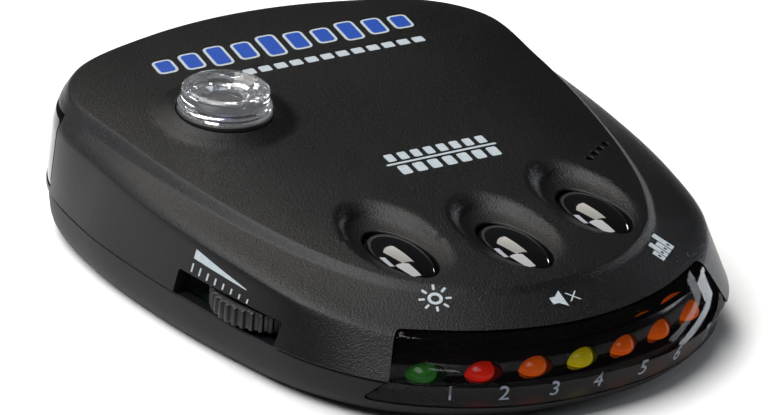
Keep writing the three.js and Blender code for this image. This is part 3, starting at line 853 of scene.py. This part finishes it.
def facing_up(tree, low, high):
    """1 where the surface faces up, 0 where it is a wall."""
    geometry = add_node(tree, "ShaderNodeNewGeometry")
    split = add_node(tree, "ShaderNodeSeparateXYZ", Vector=geometry.outputs["Normal"])
    return remap(tree, split.outputs["Z"], low, high, 0, 1)


# ---- materials

def textured_abs(name, dark, light, grain_depth, rough_low, rough_high, gloss,
                 walls_smooth=True):
    """Black ABS with a moulded leather-like grain, finer and flatter on the side walls."""
    made, tree, shader = material(name)
    where = place(tree)
    fine = noise(tree, 5000, 2, 0.6, where)
    coarse = pebbles(tree, 2600, 0.7, where)
    height = weighted(tree, fine, 1.0, coarse, 0.3)
    wear = noise(tree, 55, 3, 0.55, where)
    share = remap(tree, weighted(tree, wear, 0.5, fine, 0.5), 0.35, 0.65, 0, 1)
    connect(tree, shader.inputs["Base Color"], blend(tree, share, dark, light))
    roughen(tree, shader, weighted(tree, fine, 0.7, wear, 0.3), 0.3, 0.7, rough_low, rough_high)
    shader.inputs["Specular IOR Level"].default_value = gloss
    if walls_smooth:
        height = times(tree, height, weighted(tree, facing_up(tree, 0.15, 0.6), 0.8,
                                              noise(tree, 20, 0, 0.5, where), 0.4))
    bump(tree, shader, height, grain_depth)
    return made


def gloss_black(name, tint, rough, scratch=0.02):
    """Polished dark plastic: clear gloss with faint dust and hairline scratches."""
    made, tree, shader = material(name)
    where = place(tree)
    dust = noise(tree, 5200, 2, 0.6, where)
    cloud = noise(tree, 90, 2, 0.5, where)
    tint_between(tree, shader, cloud, 0.3, 0.7, tint, 1.6)
    roughen(tree, shader, weighted(tree, dust, 0.5, cloud, 0.5), 0.35, 0.65, rough, rough + scratch)
    shader.inputs["Coat Weight"].default_value = 0.6
    shader.inputs["Coat Roughness"].default_value = 0.03
    bump(tree, shader, cloud, 0.00001, 0.3)
    return made


def clear_plastic(name, tint, rough, ior=1.49, murk=0.0):
    """See-through plastic that lets lamps light what is behind it."""
    made, tree, shader = material(name)
    where = place(tree)
    ripple = noise(tree, 260, 2, 0.5, where)
    shader.inputs["Transmission Weight"].default_value = 1.0 - murk
    shader.inputs["IOR"].default_value = ior
    tint_between(tree, shader, ripple, 0.3, 0.7, tint, 0.92)
    roughen(tree, shader, noise(tree, 2600, 2, 0.5, where), 0.3, 0.7, rough, rough * 2 + 0.01)
    bump(tree, shader, ripple, 0.00002, 0.4)
    clear = add_node(tree, "ShaderNodeBsdfTransparent", Color=tint)
    path = add_node(tree, "ShaderNodeLightPath")
    mixed = add_node(tree, "ShaderNodeMixShader", Fac=path.outputs["Is Shadow Ray"])
    tree.links.new(shader.outputs[0], mixed.inputs[1])
    tree.links.new(clear.outputs[0], mixed.inputs[2])
    out = next(n for n in tree.nodes if n.type == "OUTPUT_MATERIAL")
    tree.links.new(mixed.outputs[0], out.inputs["Surface"])
    return made


def smoked_plastic(name, tint, cover):
    """Dark tinted plastic with a polished face; cover is how much of what lies behind it hides."""
    made, tree, shader = material(name)
    where = place(tree)
    cloud = noise(tree, 110, 2, 0.5, where)
    dust = noise(tree, 4200, 2, 0.6, where)
    tint_between(tree, shader, cloud, 0.3, 0.7, tint, 1.7)
    roughen(tree, shader, dust, 0.3, 0.7, 0.035, 0.05)
    shader.inputs["Alpha"].default_value = cover
    shader.inputs["Specular IOR Level"].default_value = 0.28
    bump(tree, shader, cloud, 0.00001, 0.3)
    return made


def light_plastic(name, tint, painted_glow):
    """Coloured diffusing epoxy, deeper in colour at its core, with a painted glow: emission that stands
    in for light, stronger towards the bottom as painted shading.
    """
    made, tree, shader = material(name)
    where = place(tree)
    core = noise(tree, 420, 2, 0.5, where)
    tint_between(tree, shader, core, 0.3, 0.7, tint, 0.45)
    shader.inputs["Roughness"].default_value = 0.12
    shader.inputs["Subsurface Weight"].default_value = 0.35
    shader.inputs["Subsurface Radius"].default_value = (0.0015, 0.0008, 0.0005)
    # Painted glow: emission in the lens's own colour stands in for light, brighter at the bottom and
    # dimmer at the top as painted shading.
    shader.inputs["Emission Color"].default_value = tint
    split = add_node(tree, "ShaderNodeSeparateXYZ", Vector=where)
    tree.links.new(remap(tree, split.outputs["Z"], 0.0052, 0.0086, painted_glow, painted_glow * 0.3),
                   shader.inputs["Emission Strength"])
    shader.inputs["Coat Weight"].default_value = 0.8
    shader.inputs["Coat Roughness"].default_value = 0.05
    bump(tree, shader, core, 0.00002, 0.3)
    return made


def metal(name, tint, rough, streak_axis=2, streak=60.0):
    """Stamped or turned metal with fine drawn streaks and faint tarnish."""
    made, tree, shader = material(name)
    stretch = [2600.0, 2600.0, 2600.0]
    stretch[streak_axis] = streak
    mapped = add_node(tree, "ShaderNodeMapping", Vector=place(tree), Scale=stretch)
    streaks = noise(tree, 1.0, 2, 0.6, mapped.outputs[0])
    tarnish = noise(tree, 160, 3, 0.6)
    shader.inputs["Metallic"].default_value = 1.0
    tint_between(tree, shader, tarnish, 0.35, 0.75, tint, 0.62)
    roughen(tree, shader, streaks, 0.3, 0.7, rough, rough + 0.18)
    bump(tree, shader, streaks, 0.00002, 0.35)
    return made


def board_material(name, mask, copper, weave_scale=900):
    """Solder-mask over glass weave, with lighter copper tracks and pads showing through."""
    made, tree, shader = material(name)
    where = place(tree)
    tracks = add_node(tree, "ShaderNodeTexBrick", {"offset": 0.37, "squash": 0.6}, Vector=where,
                      Color1=(0, 0, 0, 1), Color2=(0, 0, 0, 1), Mortar=(1, 1, 1, 1), Scale=130.0)
    tracks.inputs["Mortar Size"].default_value = 0.03
    pads = pebbles(tree, 320, 0.0, where)
    weave = noise(tree, weave_scale, 1, 0.5, where)
    base_tint = blend(tree, tracks.outputs["Color"], mask, copper)
    dotted = blend(tree, remap(tree, pads, 0.09, 0.11, 1, 0), base_tint, (0.62, 0.6, 0.55, 1))
    tree.links.new(dotted, shader.inputs["Base Color"])
    roughen(tree, shader, weave, 0.3, 0.7, 0.28, 0.46)
    bump(tree, shader, weighted(tree, tracks.outputs["Color"], 0.6, weave, 0.3), 0.00004, 0.5)
    return made


def moulded(name, tint, rough, grain=1500, depth=0.00003, fleck=0.7):
    """Plain moulded plastic or ceramic: fine grain, faint flow marks and uneven sheen."""
    made, tree, shader = material(name)
    where = place(tree)
    fine = noise(tree, grain, 2, 0.55, where)
    flow = noise(tree, 120, 3, 0.6, where)
    tint_between(tree, shader, flow, 0.3, 0.7, tint, fleck)
    roughen(tree, shader, fine, 0.3, 0.7, rough - 0.07, rough + 0.09)
    bump(tree, shader, fine, depth, 0.6)
    return made


def capacitor_sleeve(name):
    """Dark blue shrink sleeve with a pale stripe down one side."""
    made, tree, shader = material(name)
    where = place(tree)
    split = add_node(tree, "ShaderNodeSeparateXYZ", Vector=where)
    wave = add_node(tree, "ShaderNodeMath", {"operation": "SINE"})
    tree.links.new(times(tree, split.outputs["X"], 1047.0), wave.inputs[0])
    stripe = remap(tree, wave.outputs[0], 0.93, 0.96, 0, 1)
    fine = noise(tree, 900, 2, 0.5, where)
    tree.links.new(blend(tree, stripe, colour(30, 38, 74), colour(176, 182, 196)),
                   shader.inputs["Base Color"])
    roughen(tree, shader, fine, 0.3, 0.7, 0.24, 0.4)
    bump(tree, shader, fine, 0.00003, 0.4)
    return made


def print_ink(name, tint):
    """Screen-printed ink: slightly uneven cover with a satin face."""
    made, tree, shader = material(name)
    where = place(tree)
    cover = noise(tree, 2400, 2, 0.6, where)
    tint_between(tree, shader, cover, 0.3, 0.75, tint, 0.72)
    roughen(tree, shader, cover, 0.3, 0.7, 0.42, 0.6)
    bump(tree, shader, cover, 0.00002, 0.5)
    return made


LOOKS = {
    "housing_top": (textured_abs, colour(9, 9, 10), colour(17, 17, 18), 0.00009,
                                0.25, 0.37, 0.26),
    "housing_bottom": (textured_abs, colour(8, 9, 11), colour(13, 14, 16), 0.00002,
                                   0.42, 0.55, 0.2, False),
    "smoked_window": (smoked_plastic, colour(8, 6, 7), 0.4),
    "radome_window": (gloss_black, colour(14, 14, 17), 0.14, 0.08),
    "clear_lens": (clear_plastic, (0.95, 0.96, 0.98, 1), 0.01, 1.49, 0.035),
    "black_rubber": (moulded, colour(20, 20, 22), 0.55, 1900, 0.00004),
    "sensor": (gloss_black, colour(52, 60, 92), 0.12),
    "button": (gloss_black, colour(9, 9, 10), 0.045),
    "switch_plunger": (moulded, colour(206, 200, 182), 0.45),
    "switch_body": (moulded, colour(44, 44, 48), 0.5),
    # The last number of each LED look is its painted glow: the strength of emission that stands in for
    # light.
    "led_green": (light_plastic, colour(62, 150, 58), 0.5),
    "led_red": (light_plastic, colour(224, 34, 16), 1.35),
    "led_orange": (light_plastic, colour(226, 92, 12), 1.3),
    "led_yellow": (light_plastic, colour(210, 190, 14), 1.1),
    "holder": (gloss_black, colour(12, 12, 14), 0.16, 0.06),
    "wheel": (moulded, colour(9, 9, 10), 0.5, 2600, 0.00003),
    "shaft": (metal, (0.62, 0.61, 0.57, 1), 0.3),
    "steel": (metal, (0.58, 0.58, 0.6, 1), 0.26),
    "black_steel": (metal, (0.09, 0.09, 0.1, 1), 0.3),
    "phenolic": (moulded, colour(98, 66, 38), 0.5, 700, 0.00006, 0.55),
    "board": (board_material, colour(22, 92, 52), colour(40, 128, 74)),
    "mixer_board": (board_material, colour(206, 200, 182), colour(168, 150, 104), 1200),
    "die_cast": (metal, (0.52, 0.53, 0.55, 1), 0.38, 0, 900.0),
    "tinplate": (metal, (0.66, 0.67, 0.68, 1), 0.24, 0, 40.0),
    "chip": (moulded, colour(27, 27, 30), 0.42, 3200, 0.00003),
    "capacitor": (capacitor_sleeve,),
    "laser_glass": (clear_plastic, (0.5, 0.06, 0.05, 1), 0.02),
    "socket": (moulded, colour(19, 19, 21), 0.4, 1800, 0.00003),
    "label": (moulded, colour(196, 197, 199), 0.36, 1100, 0.00002, 0.9),
    "ink_white": (print_ink, colour(176, 186, 192)),
    "ink_blue": (print_ink, colour(10, 66, 160)),
    "ink_grey": (print_ink, colour(120, 128, 140)),
}
MATERIALS = {name: make(name, *values) for name, (make, *values) in LOOKS.items()}

NODE_SLOTS = {
    "black_rubber": ["dome_collar"],
    "mixer_board": ["sensor_riser", "mixer_board"],
    "sensor": ["dome_sensor"],
    "switch_plunger": [n + "_plunger" for n in BUTTONS],
    "switch_body": [n + "_switch" for n in BUTTONS],
    "shaft": ["volume_shaft"],
    "steel": ["wheel_screw", "board_screw_1", "board_screw_2", "horn_screw_1", "horn_screw_2"],
    "black_steel": [f"case_screw_{i}" for i in range(1, 5)],
    "phenolic": ["volume_control"],
    "board": ["main_board"],
    "die_cast": ["horn_antenna"],
    "tinplate": ["mixer_cover"],
    "chip": ["controller_chip", "amplifier_chip", "buzzer", "laser_sensor"],
    "capacitor": ["capacitor_1", "capacitor_2", "capacitor_3"],
    "laser_glass": ["laser_lens"],
    "label": ["rating_label"],
}

def finish_piece(piece, slot, body="housing", stands_for=()):
    """Gives a piece its material and its body, and hides the CAD nodes that it stands for."""
    piece.data.materials.clear()
    piece.data.materials.append(MATERIALS[slot])
    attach(piece, body)
    if stands_for:
        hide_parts(*stands_for)
    return piece


top = finish_piece(top_shell(), "housing_top", stands_for=["top_cover"])
finish_piece(bottom_shell(), "housing_bottom", stands_for=["bottom_cover"])
window = finish_piece(skin_piece("smoked_window", WINDOW["thickness"], window_space(0)),
                      "smoked_window", stands_for=["display_window"])
finish_piece(skin_piece("radome_shell", RADOME["thickness"], radome_space(0)), "radome_window",
             stands_for=["radome"])
finish_piece(dome_lens(), "clear_lens", stands_for=["dome_lens"])
finish_piece(dome_ring(), "black_rubber", stands_for=["dome_collar"])
for name, (x, y) in BUTTONS.items():
    finish_piece(button_piece(name, x, y), "button", name + "_key", [name + "_button"])
finish_piece(wheel_piece(), "wheel", "volume_dial", ["volume_wheel"])
for i, slot in enumerate(LIGHT_SLOTS, 1):
    finish_piece(light_piece(i), slot, stands_for=[f"led_{i}"])
finish_piece(bezel_piece(), "holder", stands_for=["led_holder"])
finish_piece(socket_piece(), "socket", stands_for=["power_socket"])

for slot, names in NODE_SLOTS.items():
    for name in names:
        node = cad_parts[name]
        node.data.materials.clear()
        node.data.materials.append(MATERIALS[slot])


# ---- prints

def caster(piece):
    graph = bpy.context.evaluated_depsgraph_get()
    return BVHTree.FromObject(piece, graph)


TOP_TREE, WINDOW_TREE = caster(top), caster(window)
INK_LIFT = 0.02
INK_THICKNESS = 0.03
INK_SINK = 0.015            # how far the ink's underside lies below its lift
INK_EDGE_CLEARANCE = 0.15
FLAT = ((1, 0, 0), (0, 1, 0))


def dense(outline, step):
    """The outline with points no further apart than step."""
    out = []
    for i, a in enumerate(outline):
        b = outline[(i + 1) % len(outline)]
        count = max(1, math.ceil(math.dist(a, b) / step))
        out += [(a[0] + (b[0] - a[0]) * k / count, a[1] + (b[1] - a[1]) * k / count)
                for k in range(count)]
    return out


def printed(name, shapes, origin, right, up, tree, ink, lift=INK_LIFT, step=0.8):
    """A thin layer of ink on a surface. shapes are plane outlines, each with its holes after it."""
    right, up = Vector(right).normalized(), Vector(up).normalized()
    out = right.cross(up).normalized()
    build = Builder()

    def landed(u, v, extra):
        start = Vector(origin) + right * u + up * v + out * 12
        hit, normal, _, _ = tree.ray_cast(start * MM, -out)
        if hit is None:
            raise RuntimeError(f"the print {name} misses the surface at {u:.1f}, {v:.1f}")
        return tuple(hit / MM + normal * extra)

    for shape in shapes:
        outlines = [dense(o, step) for o in shape]
        rings = [np.array(o) for o in outlines]
        lo, hi = rings[0].min(0), rings[0].max(0)
        grid = [p for p in itertools.product(np.arange(lo[0] + step / 2, hi[0], step),
                                             np.arange(lo[1] + step / 2, hi[1], step))
                if within(p, rings)
                and min(np.min(np.hypot(*(r - p).T)) for r in rings) > INK_EDGE_CLEARANCE]
        made, faces, _ = triangulated(outlines, grid)
        lower, upper = (build.loop([landed(*p, extra) for p in made])
                        for extra in (lift - INK_SINK, lift + INK_THICKNESS))
        edges = {}
        for f in faces:
            build.faces.append([upper[v] for v in f])
            build.faces.append([lower[v] for v in reversed(f)])
            edges.update(dict.fromkeys(zip(f, list(f[1:]) + [f[0]])))
        build.faces += [(upper[b], upper[a], lower[a], lower[b]) for a, b in edges if (b, a) not in edges]
    return finish_piece(smooth(build.piece(name), 50), ink)


def bar(x, y, width, height, lean=0.0, radius=None):
    """An upright or leaning bar with round corners, centred on x, y."""
    w, h = width / 2, height / 2
    corners = [(-w - lean * h, -h), (w - lean * h, -h), (w + lean * h, h), (-w + lean * h, h)]
    radius = 0.45 * min(width, height) if radius is None else radius
    return [(x + a, y + b) for a, b in rounded_outline(corners, radius, 4)]


# The row of signal bars that fills the maker's place on the plateau.
BARS = [0.62, 0.78, 1.0, 0.86, 1.12, 0.9, 0.74, 1.0, 0.82, 0.68]
BAR_PITCH, BAR_WIDTH, BAR_HEIGHT, BAR_LEAN = 4.5, 2.5, 5.2, 0.18
BADGE = (0.9, 34.6)
badge_x = [BAR_PITCH * (i - (len(BARS) - 1) / 2) for i in range(len(BARS))]


def badge(grow):
    return [[bar(x, 0, BAR_WIDTH + 2 * grow, BAR_HEIGHT * h + 2 * grow, BAR_LEAN, 0.62 + grow)]
            for x, h in zip(badge_x, BARS)]


printed("badge_outline", badge(0.45), (*BADGE, 20), *FLAT, TOP_TREE, "ink_white",
        step=0.9)
printed("badge_bars", badge(0), (*BADGE, 20), *FLAT, TOP_TREE, "ink_blue", 0.055)

dashes = [[bar(-17 + 2.65 * i, 0, 1.9, 1.6, 0.1, 0.3)] for i in range(14)]
printed("badge_dashes", dashes, (2.8, 28.4, 20), *FLAT, TOP_TREE, "ink_white")

middle = [[bar(0, 0, 18.5, 0.45, 0, 0.2)]]
middle += [[bar(-7.6 + 2.2 * i, 1.7, 1.4, 2.0, 0.1, 0.3)] for i in range(8)]
middle += [[bar(-7.4 + 2.5 * i, -1.9, 1.7, 2.4, 0.1, 0.4)] for i in range(7)]
printed("band_marks", middle, (3.4, -3.1, 20), *FLAT, TOP_TREE, "ink_white")


def sun_icon():
    """A ring with rays, for the brightness key."""
    shapes = [[disc(0, 0, 1.05), disc(0, 0, 0.6)[::-1]]]
    for i in range(8):
        turn = i * math.pi / 4
        c, s = math.cos(turn), math.sin(turn)
        ray = bar(1.85, 0, 0.85, 0.36, 0, 0.12)
        shapes.append([[(a * c - b * s, a * s + b * c) for a, b in ray]])
    return shapes


def mute_icon():
    """A loudspeaker with a cross beside it."""
    speaker = [(-2.2, -0.6), (-1.3, -0.6), (-0.2, -1.5), (-0.2, 1.5), (-1.3, 0.6), (-2.2, 0.6)]
    cross = []
    for lean in (1, -1):
        cross.append([[(1.35 + a, b) for a, b in
                       [(-0.8 - 0.14, -0.8 * lean), (-0.8 + 0.14, -0.8 * lean),
                        (0.8 + 0.14, 0.8 * lean), (0.8 - 0.14, 0.8 * lean)][::lean]]])
    return [[speaker]] + cross


def city_icon():
    """A row of towers."""
    towers = [(-2.0, 1.0, 1.9), (-0.8, 1.0, 3.0), (0.45, 1.05, 2.3), (1.75, 1.1, 3.4)]
    shapes = []
    for x, width, height in towers:
        outline = rectangle(x - width / 2, x + width / 2, -1.5, -1.5 + height)
        window_hole = [(x - 0.22, -0.9), (x - 0.22, -0.4), (x + 0.22, -0.4), (x + 0.22, -0.9)]
        shapes.append([outline, window_hole])
    return shapes


printed("dim_mark", sun_icon(), (-17.7, -33.4, 14), (0.93, -0.37, 0), (0.33, 0.83, 0.3), TOP_TREE,
        "ink_white")
printed("mute_mark", mute_icon(), (-0.8, -39.9, 14), (1, 0, 0), (0, 0.95, 0.3), TOP_TREE, "ink_white")
printed("city_mark", city_icon(), (20.0, -33.0, 14), (0.8, 0.6, 0), (-0.5, 0.75, 0.3), TOP_TREE,
        "ink_white")


def numeral_shapes(text, size):
    """Outlines of a numeral, from Blender's own font, as plane triangles."""
    curve = bpy.data.curves.new("numeral", "FONT")
    curve.body = text
    curve.size = size
    curve.align_x, curve.align_y = "CENTER", "CENTER"
    curve.resolution_u = 4
    holder = new_object("numeral", curve)
    graph = bpy.context.evaluated_depsgraph_get()
    mesh = bpy.data.meshes.new_from_object(holder.evaluated_get(graph))
    shapes = []
    for face in mesh.polygons:
        corners = [tuple(mesh.vertices[v].co[:2]) for v in face.vertices]
        area = sum(a[0] * b[1] - b[0] * a[1] for a, b in zip(corners, corners[1:] + corners[:1]))
        if abs(area) > 1e-5:
            shapes.append([corners if area > 0 else corners[::-1]])
    bpy.data.objects.remove(holder)
    bpy.data.meshes.remove(mesh)
    return shapes


NUMERALS = [(-21.2, -43.5), (-14.5, -46.5), (-7.5, -48.3), (-0.7, -49.0), (7.1, -48.5), (14.0, -46.9),
            (21.6, -43.6)]
for i, (x, y) in enumerate(NUMERALS, 1):
    aside = Vector((1, 2 * LED_BOW * x * 1.1, 0)).normalized()
    printed(f"channel_mark_{i}", numeral_shapes(str(i), 3.3), (x, y, 5.9), aside, (0, 0.1, 1),
            WINDOW_TREE, "ink_grey", step=5)

wedge = [(-5.2, 0.0), (5.1, 0.0), (5.1, 0.12), (-5.2, 1.35)]
ticks = [[bar(-5 + 1.55 * i, -1.3, 0.28, 1.25 - 0.09 * i, 0, 0.1)] for i in range(8)]
printed("volume_mark", [[wedge]] + ticks, (-37.4, -10.9, 12.6), (-0.14, -0.99, 0), (0.16, 0, 0.98),
        TOP_TREE, "ink_white")


# ---- camera, lights and floor

EYE = (-394.2, -553.9, 325.8)
CAMERA_RIGHT = (0.83335, -0.54836, 0.06945)
CAMERA_UP = (0.17934, 0.38710, 0.90443)
CAMERA_BACK = (-0.52284, -0.74126, 0.42093)
SENSOR = 36.0
FOCAL = 248.3

camera_data = bpy.data.cameras.new("camera")
camera_data.sensor_width = SENSOR
camera_data.lens = FOCAL
camera_data.clip_start = 0.05
camera_data.clip_end = 20
camera = bpy.data.objects.new("camera", camera_data)
bpy.context.scene.collection.objects.link(camera)
turn = Matrix((CAMERA_RIGHT, CAMERA_UP, CAMERA_BACK)).transposed()
camera.matrix_world = Matrix.Translation(Vector(EYE) * MM) @ turn.to_4x4()
bpy.context.scene.camera = camera


def area_light(name, towards, distance, width, height, power, tint=(1, 1, 1)):
    """A soft box in a direction from the part, facing it. Distances in metres."""
    data = bpy.data.lights.new(name, "AREA")
    data.shape = "RECTANGLE"
    data.size, data.size_y = width, height
    data.energy = power
    data.color = tint
    lamp = bpy.data.objects.new(name, data)
    bpy.context.scene.collection.objects.link(lamp)
    direction = Vector(towards).normalized()
    lamp.location = Vector((0, 0, 0.015)) + direction * distance
    lamp.rotation_mode = "QUATERNION"
    lamp.rotation_quaternion = direction.to_track_quat("Z", "Y")
    return lamp


area_light("back_box", (0.0, 0.6, 0.79), 0.85, 0.5, 0.42, 2.9, (1.0, 0.96, 0.89))
area_light("left_box", (-0.67, 0.59, 0.46), 0.85, 0.3, 0.22, 1.3, (0.9, 0.93, 1.0))
area_light("overhead", (-0.45, 0.05, 0.9), 1.5, 1.2, 1.2, 31)
area_light("right_strip", (0.96, 0.0, 0.17), 0.9, 0.7, 0.08, 2.4, (0.9, 0.94, 1.0))
area_light("front_box", (-0.27, -0.6, 0.75), 0.9, 0.14, 0.05, 0.15)

world = bpy.data.worlds.new("studio")
world.use_nodes = True
world.node_tree.nodes["Background"].inputs["Color"].default_value = (0.02, 0.021, 0.023, 1)
world.node_tree.nodes["Background"].inputs["Strength"].default_value = 1.0
bpy.context.scene.world = world
bpy.context.scene.view_settings.view_transform = "Standard"

FLOOR_HALF = 3.0
floor_mesh = bpy.data.meshes.new("floor")
floor_mesh.from_pydata([(-FLOOR_HALF, -FLOOR_HALF, 0), (FLOOR_HALF, -FLOOR_HALF, 0),
                        (FLOOR_HALF, FLOOR_HALF, 0), (-FLOOR_HALF, FLOOR_HALF, 0)], [], [(0, 1, 2, 3)])
floor = new_object("floor", floor_mesh)
floor_look, _, floor_shader = material("floor")
floor_shader.inputs["Base Color"].default_value = (0.9, 0.9, 0.9, 1)
floor_shader.inputs["Roughness"].default_value = 0.9
floor.data.materials.append(floor_look)
